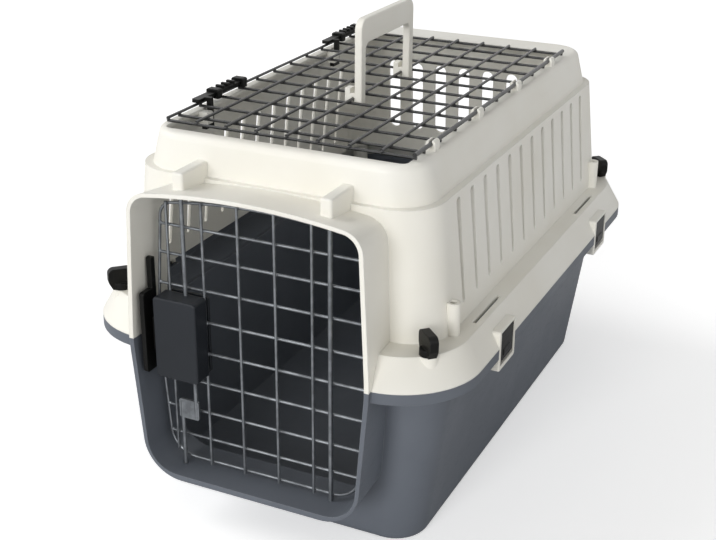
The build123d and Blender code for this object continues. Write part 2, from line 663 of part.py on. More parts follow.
def latch_paddle():
    """Finger plate beside the housing with a flat stem that slides into it."""
    right = PADDLE_LEFT + PADDLE_THICKNESS
    plate = box(PADDLE_LEFT, right, PADDLE_FRONT_Y, HOUSING_BACK_Y, PADDLE_LOW_Z, PADDLE_HIGH_Z)
    plate = fillet(plate.edges().filter_by(Axis.X), PADDLE_CORNER_RADIUS)
    plate = fillet(plate.faces().sort_by(Axis.X)[0].edges(), PADDLE_EDGE_RADIUS)
    ear = box(PADDLE_LEFT, right, PADDLE_EAR_FRONT_Y, HOUSING_BACK_Y,
              PADDLE_HIGH_Z - 2 * PADDLE_CORNER_RADIUS, PADDLE_EAR_TOP_Z)
    ear = fillet(ear.edges().filter_by(Axis.X).group_by(Axis.Z)[-1], HOUSING_EDGE_RADIUS)
    stem = box(right - 1, STEM_END_X, STEM_FRONT_Y, STEM_BACK_Y, STEM_LOW_Z, STEM_HIGH_Z)
    return plate + ear + stem


def latch_spring():
    """Bent strip between the stem's end and the housing's far wall."""
    wall = HOUSING_RIGHT - HOUSING_WALL
    under = [(STEM_END_X, SPRING_FOOT_Z), *SPRING_BENDS, (wall, SPRING_BENDS[-1][1])]
    over = [(x, z + SPRING_THICKNESS) for x, z in reversed(under)]
    strip = make_face(Polyline(*under, *over, close=True))
    return extrude(Plane.XZ.offset(-STEM_BACK_Y) * strip, SPRING_WIDTH)


def latch_upper_bolt():
    """Straight bolt that runs from the housing up into the left boss."""
    bar = rod_z(UPPER_BOLT_X, BOLT_Y, UPPER_BOLT_FOOT_Z, UPPER_BOLT_TIP_Z, BOLT_R)
    return chamfer(bar.edges().sort_by(Axis.Z)[-1], BOLT_CHAMFER)


def latch_lower_bolt():
    """Cranked bolt: stem out of the housing, joining plate, pin down into the sill."""
    stem = rod_z(LOWER_BOLT_STEM_X, BOLT_Y, CRANK_LOW_Z + CRANK_LAP, LOWER_BOLT_HEAD_Z, BOLT_R)
    pin = rod_z(LOWER_BOLT_X, BOLT_Y, LOWER_BOLT_TIP_Z, CRANK_HIGH_Z - CRANK_LAP, BOLT_R)
    pin = chamfer(pin.edges().sort_by(Axis.Z)[0], BOLT_CHAMFER)
    plate = box(LOWER_BOLT_X - CRANK_BORDER, LOWER_BOLT_STEM_X + CRANK_BORDER,
                BOLT_Y - CRANK_HALF_THICKNESS, BOLT_Y + CRANK_HALF_THICKNESS,
                CRANK_LOW_Z, CRANK_HIGH_Z)
    plate = fillet(plate.edges().filter_by(Axis.Y), CRANK_CORNER_RADIUS)
    return stem + pin + plate


def top_door_grille():
    """Welded top grille: cross wires and frame below, lengthwise wires on top."""
    right = TOP_HINGE_X + 0.6
    wires = []
    ys = [CROSS_WIRE_FIRST_Y + i * CROSS_WIRE_PITCH for i in range(CROSS_WIRE_COUNT)]
    for y in [GRILLE_FRONT_Y] + ys + [GRILLE_BACK_Y]:
        wires.append(rod_x(GRILLE_SIDE_X - 0.6, right, y, TOP_WIRE_LOW_Z, WIRE_R))
    for i in range(-4, 4):
        x = i * LONG_WIRE_PITCH
        wires.append(rod_y(x, GRILLE_FRONT_Y - 1, GRILLE_BACK_Y + 1, TOP_WIRE_HIGH_Z, WIRE_R))
    return Compound(children=wires)


def top_door_hinge_rod():
    return rod_y(TOP_HINGE_X, GRILLE_FRONT_Y - 2, GRILLE_BACK_Y + 2, TOP_HINGE_Z, TOP_ROD_R)


def handle():
    """Flat bail. Each foot is an eye open below, between the leg and a short prong."""
    front = HANDLE_LEGS_Y[0] - LEG_WIDTH / 2
    back = HANDLE_LEGS_Y[1] + LEG_WIDTH / 2
    bail = box(LEG_INNER_X, LEG_OUTER_X, front, back, FOOT_Z, HANDLE_TOP_Z)
    bail = fillet(bail.edges().filter_by(Axis.X).group_by(Axis.Z)[-1], HANDLE_SHOULDER_RADIUS)
    window = box(LEG_INNER_X - 5, LEG_OUTER_X + 5, front + LEG_WIDTH, back - LEG_WIDTH,
                 FOOT_Z - 5, HANDLE_TOP_Z - CROSSBAR_DEPTH)
    window = fillet(window.edges().filter_by(Axis.X).group_by(Axis.Z)[-1], HANDLE_WINDOW_RADIUS)
    bail = bail - window
    bail = fillet(bail.faces().sort_by(Axis.X)[-1].edges(), HANDLE_EDGE_RADIUS)
    cuts = []
    for y in HANDLE_LEGS_Y:
        y0, y1 = y - LEG_WIDTH / 2, y + LEG_WIDTH / 2
        bail += rod_y(0, y0, y1, TOP_WIRE_HIGH_Z, HANDLE_EYE_R)
        bail += box(PRONG_OUTER_X, PRONG_INNER_X, y0, y1, FOOT_Z + 1, PRONG_TOP_Z)
        cuts.append(rod_y(0, y0 - 1, y1 + 1, TOP_WIRE_HIGH_Z, WIRE_R + RUNNING_GAP))
        cuts.append(box(-HANDLE_THROAT_HALF, HANDLE_THROAT_HALF, y0 - 1, y1 + 1,
                        FOOT_Z - 5, TOP_WIRE_HIGH_Z))
    return bail - cuts


def top_latch_guide(y):
    """Two saddles on the left frame wire that a slide runs through."""
    x = GRILLE_SIDE_X
    guides = []
    for offset in GUIDE_OFFSETS:
        y0, y1 = y + offset - GUIDE_HALF_LENGTH, y + offset + GUIDE_HALF_LENGTH
        block = box(x - GUIDE_HALF_WIDTH, x + GUIDE_HALF_WIDTH, y0, y1,
                    TOP_WIRE_LOW_Z + WIRE_R + 0.1, SLIDE_Z + GUIDE_HEIGHT)
        block = fillet(block.edges().filter_by(Axis.Y).group_by(Axis.Z)[-1], GUIDE_EDGE_RADIUS)
        block -= rod_y(x, y0 - 1, y1 + 1, TOP_WIRE_HIGH_Z, WIRE_R + 0.02)
        block -= box(x - WIRE_R + 0.15, x + WIRE_R - 0.15, y0 - 1, y1 + 1,
                     TOP_WIRE_LOW_Z, TOP_WIRE_HIGH_Z)
        block -= box(x - GUIDE_SLOT_HALF, x + GUIDE_SLOT_HALF, y0 - 1, y1 + 1,
                     SLIDE_Z + GUIDE_SLOT[0], SLIDE_Z + GUIDE_SLOT[1])
        guides.append(block)
    return Compound(children=guides)


def top_latch_slide(y):
    """Flat slide with a thumb ridge, and a leg whose toe runs under the keeper at y."""
    x = GRILLE_SIDE_X
    left, right = x - SLIDE_HALF_WIDTH, x + SLIDE_HALF_WIDTH
    low = SLIDE_Z + SLIDE_LIFT
    high = low + SLIDE_THICKNESS
    bar = box(left, right, y + SLIDE_REACH[0], y + SLIDE_REACH[1], low, high)
    bar = fillet(bar.edges().filter_by(Axis.Z), GUIDE_EDGE_RADIUS)
    for offset in THUMB_RIDGES:
        ridge = y + offset
        bar += box(left, right, ridge - THUMB_RIDGE_HALF, ridge + THUMB_RIDGE_HALF,
                   low + 2, low + THUMB_RIDGE_HEIGHT)
    leg_y0, leg_y1 = y + SLIDE_LEG[0], y + SLIDE_LEG[1]
    inner, outer = KEEPER_X - TOE_HALF_WIDTH, KEEPER_X + TOE_HALF_WIDTH
    bar += box(left, outer, leg_y0, leg_y1, low, high)
    bar += box(inner, outer, leg_y0, leg_y1, TOE_Z, high)
    bar += box(inner, outer, y + SLIDE_TOE_START, leg_y1, TOE_Z, TOE_Z + TOE_THICKNESS)
    return bar


def keeper(y):
    """Square catch on the left edge of the top opening that a slide's toe runs under."""
    block = box(-TOP_OPENING.half - 1, KEEPER_X + 2 * TOE_HALF_WIDTH,
                y - KEEPER_HALF_LENGTH, y + KEEPER_HALF_LENGTH,
                TOE_Z + TOE_THICKNESS + 0.5, TOP_Z - 1)
    return fillet(block.edges().filter_by(Axis.Y).sort_by(Axis.X)[-2:], KEEPER_EDGE_RADIUS)


def side_clip(sx, sy):
    """Snap clip: plate that swings on its pin, with a lip hooked under the tub's catch."""
    y = sy * CLIP_Y
    y0, y1 = y - CLIP_WIDTH / 2, y + CLIP_WIDTH / 2
    plate = box(CLIP_INNER_X, CLIP_OUTER_X, y0, y1, CLIP_LOW_Z, CLIP_HIGH_Z)
    plate = fillet(plate.faces().sort_by(Axis.X)[-1].edges(), CLIP_EDGE_RADIUS)
    plate += rod_y(CLIP_PIN_X, y0, y1, CLIP_PIN_Z, CLIP_EYE_R)
    lip = box(CLIP_LIP_X, CLIP_INNER_X + 1, y0, y1, CLIP_LOW_Z, CLIP_LOW_Z + CLIP_LIP_HEIGHT)
    grip = box(CLIP_OUTER_X - CLIP_GRIP_RISE, CLIP_OUTER_X + CLIP_GRIP_RISE,
               y - CLIP_GRIP_HALF_WIDTH, y + CLIP_GRIP_HALF_WIDTH,
               CLIP_LOW_Z + CLIP_GRIP_HEIGHTS[0], CLIP_LOW_Z + CLIP_GRIP_HEIGHTS[1])
    bore = rod_y(CLIP_PIN_X, y0 - 1, y1 + 1, CLIP_PIN_Z, CLIP_PIN_R + RUNNING_GAP)
    return mirrored(plate + lip + grip - bore, sx)


def clip_pins():
    return Compound(children=pin_bores())


def corner_knob(sx, sy):
    """Wing nut: round foot and a flat wing with rounded shoulders, turned across the corner."""
    outline = make_face(
        FilletPolyline(
            (-KNOB_FOOT_HALF_WIDTH, 0),
            (KNOB_FOOT_HALF_WIDTH, 0),
            (KNOB_HALF_WIDTH, KNOB_SHOULDER),
            (KNOB_HALF_WIDTH, KNOB_HEIGHT),
            (-KNOB_HALF_WIDTH, KNOB_HEIGHT),
            (-KNOB_HALF_WIDTH, KNOB_SHOULDER),
            radius=list(KNOB_RADII),
            close=True,
        )
    )
    wing = extrude(Plane.XZ * outline, KNOB_THICKNESS / 2, both=True)
    knob = Pos(0, 0, KNOB_FOOT_Z) * (wing + extrude(Circle(KNOB_FOOT_R), KNOB_FOOT_HEIGHT))
    knob -= rod_z(0, 0, KNOB_FOOT_Z - 1, BOLT_TOP_Z + 1, BOLT_SHANK_R + RUNNING_GAP)
    return Pos(sx * KNOB_X, sy * KNOB_Y, 0) * Rot(0, 0, -45 * sx) * knob


def corner_bolts():
    """Four round-head bolts that clamp the two rims together."""
    bolts = []
    for sx, sy in corners():
        head = rod_z(sx * KNOB_X, sy * KNOB_Y, BAND_Z - BOLT_HEAD_HEIGHT, BAND_Z, BOLT_HEAD_R)
        shank = rod_z(sx * KNOB_X, sy * KNOB_Y, BAND_Z, BOLT_TOP_Z, BOLT_SHANK_R)
        bolts.append(head + shank)
    return Compound(children=bolts)


CORNER_NAMES = {
    (-1, -1): "front_left",
    (1, -1): "front_right",
    (-1, 1): "back_left",
    (1, 1): "back_right",
}


def build():
    """Every node by name."""
    upper = upper_shell()
    for y in KEEPER_YS:
        upper += keeper(y)
    nodes = {
        "lower_shell": lower_shell(),
        "upper_shell": upper,
        "clip_pins": clip_pins(),
        "corner_bolts": corner_bolts(),
        "front_door_frame": front_door_frame(),
        "front_door_grille": front_door_grille(),
        "front_door_hinge_rod": front_door_hinge_rod(),
        "latch_housing": latch_housing(),
        "latch_back_plate": latch_back_plate(),
        "latch_screws": latch_screws(),
        "latch_spring": latch_spring(),
        "latch_paddle": latch_paddle(),
        "latch_upper_bolt": latch_upper_bolt(),
        "latch_lower_bolt": latch_lower_bolt(),
        "top_door_grille": top_door_grille(),
        "top_door_hinge_rod": top_door_hinge_rod(),
        "handle": handle(),
    }
    for name, y in zip(("front", "rear"), KEEPER_YS):
        nodes["top_latch_guide_" + name] = top_latch_guide(y)
        nodes["top_latch_slide_" + name] = top_latch_slide(y)
    for (sx, sy), name in CORNER_NAMES.items():
        nodes["side_clip_" + name] = side_clip(sx, sy)
        nodes["corner_knob_" + name] = corner_knob(sx, sy)
    return nodes


for node, shape in build().items():
    export_step(shape, f"parts/{node}.step")
    print(node, round(shape.volume), len(shape.solids()))
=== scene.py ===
# %% [markdown]
# # A two-door pet carrier
#
# The carrier's shells, wires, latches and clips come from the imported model, each as its own
# object in metres. This script gives every one of them the finish of its real material, grows the
# weld beads that are too small and too many to model one by one, and lights the result.

import bmesh
import bpy
import json
from math import pi, radians
from mathutils import Matrix, Vector


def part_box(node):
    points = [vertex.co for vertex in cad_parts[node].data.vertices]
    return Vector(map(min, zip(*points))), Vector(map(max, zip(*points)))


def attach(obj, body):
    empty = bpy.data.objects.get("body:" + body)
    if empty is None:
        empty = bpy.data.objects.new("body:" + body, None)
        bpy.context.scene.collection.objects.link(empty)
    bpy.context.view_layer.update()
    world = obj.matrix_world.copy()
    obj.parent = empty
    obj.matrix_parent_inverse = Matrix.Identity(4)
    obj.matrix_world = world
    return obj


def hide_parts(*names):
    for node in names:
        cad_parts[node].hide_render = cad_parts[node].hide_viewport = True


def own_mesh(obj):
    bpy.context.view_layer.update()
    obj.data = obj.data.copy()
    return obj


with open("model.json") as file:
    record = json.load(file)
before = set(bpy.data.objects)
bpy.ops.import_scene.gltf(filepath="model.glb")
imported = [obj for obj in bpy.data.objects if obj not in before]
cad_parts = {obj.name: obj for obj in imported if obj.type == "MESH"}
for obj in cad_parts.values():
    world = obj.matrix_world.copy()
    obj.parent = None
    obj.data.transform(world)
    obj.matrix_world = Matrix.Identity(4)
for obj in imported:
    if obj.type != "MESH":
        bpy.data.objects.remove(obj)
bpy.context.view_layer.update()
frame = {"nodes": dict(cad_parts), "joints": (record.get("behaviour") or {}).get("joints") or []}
parts = frame["nodes"]

# %% [markdown]
# ## The camera
#
# The photograph was taken from the front right corner, a little above the carrier. The camera's
# place, turn and focal length were worked out from the door wires, so the render can be laid over
# the photograph. A camera looks along its own -Z axis, so a pitch of 90 degrees looks level.

# %% Place the camera
CAMERA_PLACE = (0.4186, -0.9369, 0.5705)  # metres from the carrier's middle at floor level
TURN_LEFT, LOOK_DOWN, ROLL = 25.49, 23.32, 0.38  # degrees
FOCAL_LENGTH, SENSOR_WIDTH = 63.88, 36.0  # millimetres

camera_data = bpy.data.cameras.new("photo_camera")
camera_data.sensor_width = SENSOR_WIDTH
camera_data.lens = FOCAL_LENGTH
camera = bpy.data.objects.new("photo_camera", camera_data)
bpy.context.scene.collection.objects.link(camera)
turn = Matrix.Rotation(radians(TURN_LEFT), 4, "Z")
pitch = Matrix.Rotation(radians(90 - LOOK_DOWN), 4, "X")
roll = Matrix.Rotation(radians(ROLL), 4, "Z")
camera.matrix_world = Matrix.Translation(CAMERA_PLACE) @ turn @ pitch @ roll
bpy.context.scene.camera = camera
print("focal length", camera_data.lens, "mm")

# %% [markdown]
# ## Light
#
# Wide suns and an even sky stand for the soft boxes of a product studio. One shines on the front
# and one comes from high on the left, so the front and the top are bright and the right side is a
# shade darker, as in the photograph. A weak one from the right stands for the reflector that
# photographers put on the shaded side. Area lamps would do too, but a sun lights near and far parts
# alike, also where a door swings out. The lamps stay at a plain level: a surface that faces the
# light renders about as its colour is written.

# %% Hang the lamps


def add_sun(name, towards, strength, spread):
    """A sun that stands in one direction and is spread degrees wide, so its shadows are soft."""
    data = bpy.data.lights.new(name, "SUN")
    data.energy = strength * pi
    data.angle = radians(spread)
    lamp = bpy.data.objects.new(name, data)
    lamp.rotation_mode = "QUATERNION"
    lamp.rotation_quaternion = Vector(towards).to_track_quat("Z", "Y")
    bpy.context.scene.collection.objects.link(lamp)


add_sun("front_softbox", towards=(-0.05, -0.97, 0.25), strength=0.51, spread=25)
add_sun("left_softbox", towards=(-0.77, -0.20, 0.60), strength=0.44, spread=40)
add_sun("right_reflector", towards=(0.94, -0.30, 0.16), strength=0.20, spread=60)
print("lamps:", ", ".join(lamp.name for lamp in bpy.data.lights))

# %% [markdown]
# ## White surroundings
#
# The surroundings look pure white, but only to camera, glossy and transmission rays, which the
# Light Path node tells apart. Diffuse rays meet a weaker sky, so the white doesn't wash out the
# shading. A picture of a studio would also do, but two plain levels are enough for an object that
# mirrors nothing sharply.
#
# World, materials and Geometry Nodes are all node trees, so one helper serves them. It adds a node,
# makes its settings and fills its sockets, by a link where the value comes from another node.

# %% Build the sky
SKY_LEVEL = 0.30
WHITE_LEVEL = 1.0


def fill(tree, socket, value):
    """Links a socket, or sets it where the value is plain."""
    if isinstance(value, bpy.types.NodeSocket):
        tree.links.new(value, socket)
    else:
        socket.default_value = value


def add_node(tree, kind, settings, sockets):
    """Adds a node, makes its settings, then fills its sockets."""
    made = tree.nodes.new(kind)
    for key, value in settings.items():
        setattr(made, key, value)
    for key, value in sockets.items():
        fill(tree, made.inputs[key], value)
    return made


world = bpy.data.worlds.new("studio")
bpy.context.scene.world = world
world.use_nodes = True
sky = world.node_tree
sky.nodes.clear()
rays = add_node(sky, "ShaderNodeLightPath", {}, {}).outputs
looking = rays["Is Camera Ray"]
for ray_kind in ("Is Glossy Ray", "Is Transmission Ray"):
    either = add_node(sky, "ShaderNodeMath", {"operation": "MAXIMUM"},
                      {0: looking, 1: rays[ray_kind]})
    looking = either.outputs[0]
level = add_node(sky, "ShaderNodeMapRange", {},
                 {"Value": looking, "To Min": SKY_LEVEL, "To Max": WHITE_LEVEL})
backdrop = add_node(sky, "ShaderNodeBackground", {},
                    {"Color": (1, 1, 1, 1), "Strength": level.outputs["Result"]})
add_node(sky, "ShaderNodeOutputWorld", {}, {"Surface": backdrop.outputs[0]})
bpy.context.scene.view_settings.view_transform = "Standard"
print("the sky lights at", SKY_LEVEL, "and looks like", WHITE_LEVEL)

# %% [markdown]
# ## Shader maths in plain Python
#
# Blender builds a material from nodes. Sums of patterns take many Math nodes, so a small class
# wraps a socket and lets Python's own operators add them. The formula for a roughness then reads
# like a formula.

# %% A socket for sums


class Value:
    """A socket that can be used in an expression: each operator adds one Math node."""

    def __init__(self, finish, socket):
        self.finish, self.socket = finish, socket

    def _math(self, operation, first, second):
        made = self.finish.node("Math", {"operation": operation}, {0: first, 1: second})
        return Value(self.finish, made.outputs[0])

    def __add__(self, other):
        return self._math("ADD", self, other)

    def __radd__(self, other):
        return self._math("ADD", other, self)

    def __sub__(self, other):
        return self._math("SUBTRACT", self, other)

    def __rsub__(self, other):
        return self._math("SUBTRACT", other, self)

    def __mul__(self, other):
        return self._math("MULTIPLY", self, other)


def unwrap(value):
    """The socket inside a Value; anything else as it is."""
    return value.socket if isinstance(value, Value) else value


print("a plain number needs no unwrapping:", unwrap(0.5))

# %% [markdown]
# ## A material under construction
#
# Real plastic and wire vary in three ways: slow blotches, fine grain and worn edges. They could be
# painted on by hand, but noise in metres works on every part without unwrapping it, and the Bevel
# node finds the edges by itself. On the plastic, the edges are lightened, partly as wear and partly
# as a painted highlight. A second class offers these patterns. Only what changes over the surface
# is wired; a value that is the same everywhere is set on the shader's own socket.

# %% A material with its patterns
BEVEL_SAMPLES = 6
WEAR_AND_HIGHLIGHT_STARTS, WEAR_AND_HIGHLIGHT_FULL = 0.985, 0.80  # cosine of the angle between the plain and rounded normals


class Finish:
    """A material under construction."""

    def __init__(self, name):
        self.material = bpy.data.materials.new(name)
        self.material.use_nodes = True
        self.tree = self.material.node_tree
        self.shader = self.tree.nodes["Principled BSDF"]
        self.place = self.node("TexCoord", {}, {}).outputs["Object"]

    def node(self, kind, settings, sockets):
        """Adds a shader node whose sockets may be filled with a Value too."""
        sockets = {key: unwrap(value) for key, value in sockets.items()}
        return add_node(self.tree, "ShaderNode" + kind, settings, sockets)

    def noise(self, size, detail, stretch=(1, 1, 1)):
        """Noise whose blotches are about size metres across; 0 to 1, mostly near 0.5."""
        where = self.node("Mapping", {}, {"Vector": self.place, "Scale": stretch}).outputs[0]
        made = self.node("TexNoise", {}, {"Vector": where, "Scale": 1 / size, "Detail": detail})
        return Value(self, made.outputs["Fac"])

    def span(self, value, low, high):
        """0 where the value is low or beyond, 1 where it is high or beyond, even in between."""
        made = self.node("MapRange", {}, {"Value": value, "From Min": low, "From Max": high})
        return Value(self, made.outputs["Result"])

    def mix(self, share, first, second):
        """Blends two colours."""
        made = self.node("Mix", {"data_type": "RGBA"}, {"Factor": share, "A": first, "B": second})
        return made.outputs[2]

    def relief(self, height, depth, under=None):
        """Normal from a height pattern; depth is the height in metres of a full step."""
        sockets = {"Height": height, "Distance": depth, "Strength": 1.0}
        if under is not None:
            sockets["Normal"] = under
        return self.node("Bump", {}, sockets).outputs[0]

    def soft_edges(self, radius):
        """Normal of an edge that the mould rounds by a radius in metres."""
        return self.node("Bevel", {"samples": BEVEL_SAMPLES}, {"Radius": radius}).outputs[0]

    # This edge mask lightens moulded edges, partly as wear and partly as a painted highlight.
    def wear_and_highlight(self, normal):
        """0 on a plain surface, up to 1 on an edge that the Bevel node has rounded."""
        plain = self.node("NewGeometry", {}, {}).outputs["Normal"]
        turned = self.node("VectorMath", {"operation": "DOT_PRODUCT"}, {0: normal, 1: plain})
        return self.span(Value(self, turned.outputs["Value"]), WEAR_AND_HIGHLIGHT_STARTS, WEAR_AND_HIGHLIGHT_FULL)

    def finish(self, **surface):
        """Fills the shader's sockets and returns the material."""
        for key, value in surface.items():
            fill(self.tree, self.shader.inputs[key.replace("_", " ")], unwrap(value))
        return self.material


print("patterns on offer: noise, span, mix, relief, soft_edges and wear")

# %% [markdown]
# ## Colours and painting
#
# Colours are easiest to choose as a screen shows them, but a shader works with amounts of light, in
# which the screen's mid grey is about a fifth of white. Each colour is written for the screen and
# converted once.

# %% Convert colours and paint parts


def linear(red, green, blue):
    """A colour as a screen shows it, 0 to 255, turned into the light values that Blender mixes.

    The numbers are those of the sRGB standard's curve, which is a straight line near black.
    """
    shares = [c / 255 for c in (red, green, blue)]
    light = [c / 12.92 if c <= 0.04045 else ((c + 0.055) / 1.055) ** 2.4 for c in shares]
    return (*light, 1.0)


def paint(material, *names):
    """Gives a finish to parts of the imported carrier."""
    for name in names:
        parts[name].data.materials.clear()
        parts[name].data.materials.append(material)
    print(material.name, "on", ", ".join(names))


print("screen grey 128 is", round(linear(128, 128, 128)[0], 3), "of the light of white")

# %% [markdown]
# ## The floor
#
# A pale floor lets the carrier cast a soft shadow. Its own colour is lit like everything else. A
# little extra white is added for camera rays only, so the floor fades into the white surroundings.

# %% Lay the floor
FLOOR_RADIUS, FLOOR_CORNERS = 9.0, 96
FLOOR_TONES = linear(236, 236, 236), linear(243, 243, 243)
FLOOR_GLOW = 0.46
BLOTCH_SIZE = 0.6

bpy.ops.mesh.primitive_circle_add(vertices=FLOOR_CORNERS, radius=FLOOR_RADIUS, fill_type="NGON")
floor = bpy.context.object
floor.name = "studio_floor"
pale = Finish("studio_floor")
camera_ray = Value(pale, pale.node("LightPath", {}, {}).outputs["Is Camera Ray"])
mottle = pale.noise(BLOTCH_SIZE, detail=2)
floor.data.materials.append(pale.finish(
    Base_Color=pale.mix(mottle, *FLOOR_TONES),
    Roughness=0.9,
    Emission_Color=(1, 1, 1, 1),
    Emission_Strength=camera_ray * FLOOR_GLOW,
))
print("floor of", round(floor.dimensions.x), "m across")

# %% [markdown]
# ## Moulded shells
#
# Both shells are injection moulded polypropylene. Their mould was spark-eroded, which leaves a fine
# grain and a satin sheen. The grain is a Bump node over fine noise, and slow noise varies the
# roughness a little as handling does. The Bevel node rounds the sharp edges of the solids at
# render time, so highlights run along them as they do on a real moulding, and the same node finds
# the edges that rubbing has polished. Their colour is lightened there too, partly as wear and
# partly as a painted highlight.

# %% Make the moulded finish
EDGE_RADIUS = 0.0011
HANDLED_PATCH, SCUFF_SIZE, GRAIN_SIZE = 0.09, 0.012, 0.0007  # metres
RUBBED_AND_HIGHLIGHT_SHARE = 0.55
DRIFT_ROUGHNESS, EDGE_POLISH, SCUFF_ROUGHNESS = 0.08, 0.10, 0.07


def moulded_plastic(name, colour, faded, rubbed_and_highlight, grain_depth, roughness, shine):
    """Satin moulding with grain, uneven sheen, and rubbed edges with a painted highlight."""
    made = Finish(name)
    rounded = made.soft_edges(EDGE_RADIUS)
    edges = made.wear_and_highlight(rounded)
    drift = made.span(made.noise(HANDLED_PATCH, detail=4), low=0.35, high=0.65)
    scratched = made.noise(SCUFF_SIZE, detail=6, stretch=(1, 1, 4))
    scuffs = made.span(scratched, low=0.56, high=0.72)
    grain = made.noise(GRAIN_SIZE, detail=2)
    base = made.mix(drift, colour, faded)
    # Rounded edges blend towards the lighter edge colour: partly wear, partly a painted highlight.
    base = made.mix(edges * RUBBED_AND_HIGHLIGHT_SHARE, base, rubbed_and_highlight)
    return made.finish(
        Base_Color=base,
        Specular_IOR_Level=shine,
        Roughness=(roughness + (drift - 0.5) * DRIFT_ROUGHNESS - edges * EDGE_POLISH
                   + scuffs * SCUFF_ROUGHNESS),
        Normal=made.relief(grain, grain_depth, under=rounded),
    )


cream = moulded_plastic(
    "cream_moulding", colour=linear(238, 236, 228), faded=linear(233, 230, 220),
    rubbed_and_highlight=linear(245, 244, 238), grain_depth=0.00005, roughness=0.46, shine=0.42)
grey = moulded_plastic(
    "grey_moulding", colour=linear(101, 106, 114), faded=linear(94, 99, 107),
    rubbed_and_highlight=linear(132, 136, 142), grain_depth=0.00007, roughness=0.50, shine=0.32)
paint(cream, "upper_shell", "handle")
paint(grey, "lower_shell")

# %% [markdown]
# ## Black latch and clip mouldings
#
# The latch, the clips, the knobs and the top slides are smaller mouldings in a harder black
# plastic. The same finish works with a darker colour, less shine and a stronger edge, because
# black plastic shows its rubbed corners first. The lighter edge colour is also partly a painted
# highlight.

# %% Finish the black mouldings
latch_grey = moulded_plastic(
    "latch_moulding", colour=linear(40, 43, 48), faded=linear(34, 37, 41),
    rubbed_and_highlight=linear(78, 81, 85), grain_depth=0.00005, roughness=0.42, shine=0.22)
latch_black = moulded_plastic(
    "clip_moulding", colour=linear(11, 11, 10), faded=linear(17, 17, 16),
    rubbed_and_highlight=linear(54, 55, 54), grain_depth=0.00004, roughness=0.40, shine=0.16)
paint(latch_grey, "latch_housing", "latch_back_plate")
paint(latch_black, "latch_paddle", "top_latch_guide_front", "top_latch_guide_rear",
      "top_latch_slide_front", "top_latch_slide_rear",
      *[name for name in parts if name.startswith(("side_clip", "corner_knob"))])

# %% [markdown]
# ## Wires
#
# The door is welded from drawn steel wire and zinc plated, so it is a dull metal with cloudy
# spots. The top grille is dipped in black plastic, which flows a little and leaves soft lumps.
# Metal is Metallic 1 with a mid grey colour. The coating is a plain dark colour with a clear sheen.

# %% Finish the metal and the coated wire
CLOUD_SIZE, SPECK_SIZE = 0.011, 0.0009  # metres
CLOUD_ROUGHNESS, SPECK_ROUGHNESS = 0.16, 0.06
SPECK_DEPTH = 0.00003
LUMP_SIZE, LUMP_DEPTH = 0.006, 0.0003
DUST_PATCH, DUST_DULLING = 0.02, 0.2


def plated_steel(name, colour, dull, roughness):
    """Zinc plated steel with cloudy patches and fine specks."""
    made = Finish(name)
    cloud = made.span(made.noise(CLOUD_SIZE, detail=5), low=0.38, high=0.64)
    speck = made.noise(SPECK_SIZE, detail=3)
    return made.finish(
        Base_Color=made.mix(cloud, colour, dull),
        Metallic=1.0,
        Roughness=roughness + cloud * CLOUD_ROUGHNESS + speck * SPECK_ROUGHNESS,
        Normal=made.relief(speck, SPECK_DEPTH),
    )


def dipped_wire(name, colour, dusty, roughness, coat, coat_roughness):
    """Plastic dip coating on wire, duller where dust lies."""
    made = Finish(name)
    lumps = made.noise(LUMP_SIZE, detail=2)
    dust = made.span(made.noise(DUST_PATCH, detail=5), low=0.5, high=0.75)
    return made.finish(
        Base_Color=made.mix(dust, colour, dusty),
        Roughness=roughness + dust * DUST_DULLING,
        Coat_Weight=coat - dust * DUST_DULLING,
        Coat_Roughness=coat_roughness,
        Normal=made.relief(lumps, LUMP_DEPTH),
    )


door_wire = plated_steel(
    "door_wire", colour=linear(142, 146, 150), dull=linear(110, 113, 117), roughness=0.40)
pin_steel = plated_steel(
    "pin_steel", colour=linear(178, 179, 182), dull=linear(140, 141, 143), roughness=0.26)
top_wire = dipped_wire(
    "top_wire", colour=linear(24, 25, 26), dusty=linear(50, 51, 51),
    roughness=0.34, coat=0.25, coat_roughness=0.25)
paint(door_wire, *[name for name in parts if name.startswith("front_door")],
      "latch_upper_bolt", "latch_lower_bolt")
paint(pin_steel, "latch_spring", "latch_screws", "clip_pins", "corner_bolts")
paint(top_wire, "top_door_grille", "top_door_hinge_rod")

# %% [markdown]
# ## The spring behind the paddle
#
# The strip of spring steel inside the latch bends when the paddle is pushed, flattening along X
# towards the wall of the housing. A copy of the imported part takes its place here and rides with
# the front door, but stays rigid; the paddle's travel is read from its joint. A imported mesh is
# loose triangles, so the copy is merged first.

# %% Put a copy of the spring in place
PADDLE_JOINT = "latch_paddle_slide"
MERGE_DISTANCE = 0.000001


def merged(name):
    """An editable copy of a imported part's mesh, with its triangles joined at their corners."""
    mesh = bmesh.new()
    mesh.from_mesh(parts[name].data)
    bmesh.ops.remove_doubles(mesh, verts=mesh.verts, dist=MERGE_DISTANCE)
    return mesh


def link_piece(name, mesh):
    """Puts a mesh into the scene as a new object."""
    piece = bpy.data.objects.new(name, mesh)
    bpy.context.scene.collection.objects.link(piece)
    return piece


strip = merged("latch_spring")
spring_mesh = bpy.data.meshes.new("paddle_spring")
strip.to_mesh(spring_mesh)
strip.free()
spring_mesh.materials.append(pin_steel)
spring = link_piece("paddle_spring", spring_mesh)
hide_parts("latch_spring")
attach(spring, "front_door")
spring_low, spring_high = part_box("latch_spring")
spring_length = spring_high[0] - spring_low[0]
paddle_joint = next(joint for joint in frame["joints"] if joint["name"] == PADDLE_JOINT)
paddle_travel = paddle_joint["range_m"][1]
(spring_length - paddle_travel) / spring_length
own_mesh(spring)
print("spring of", round(spring_length * 1000, 1), "mm gives way by", paddle_travel * 1000, "mm")

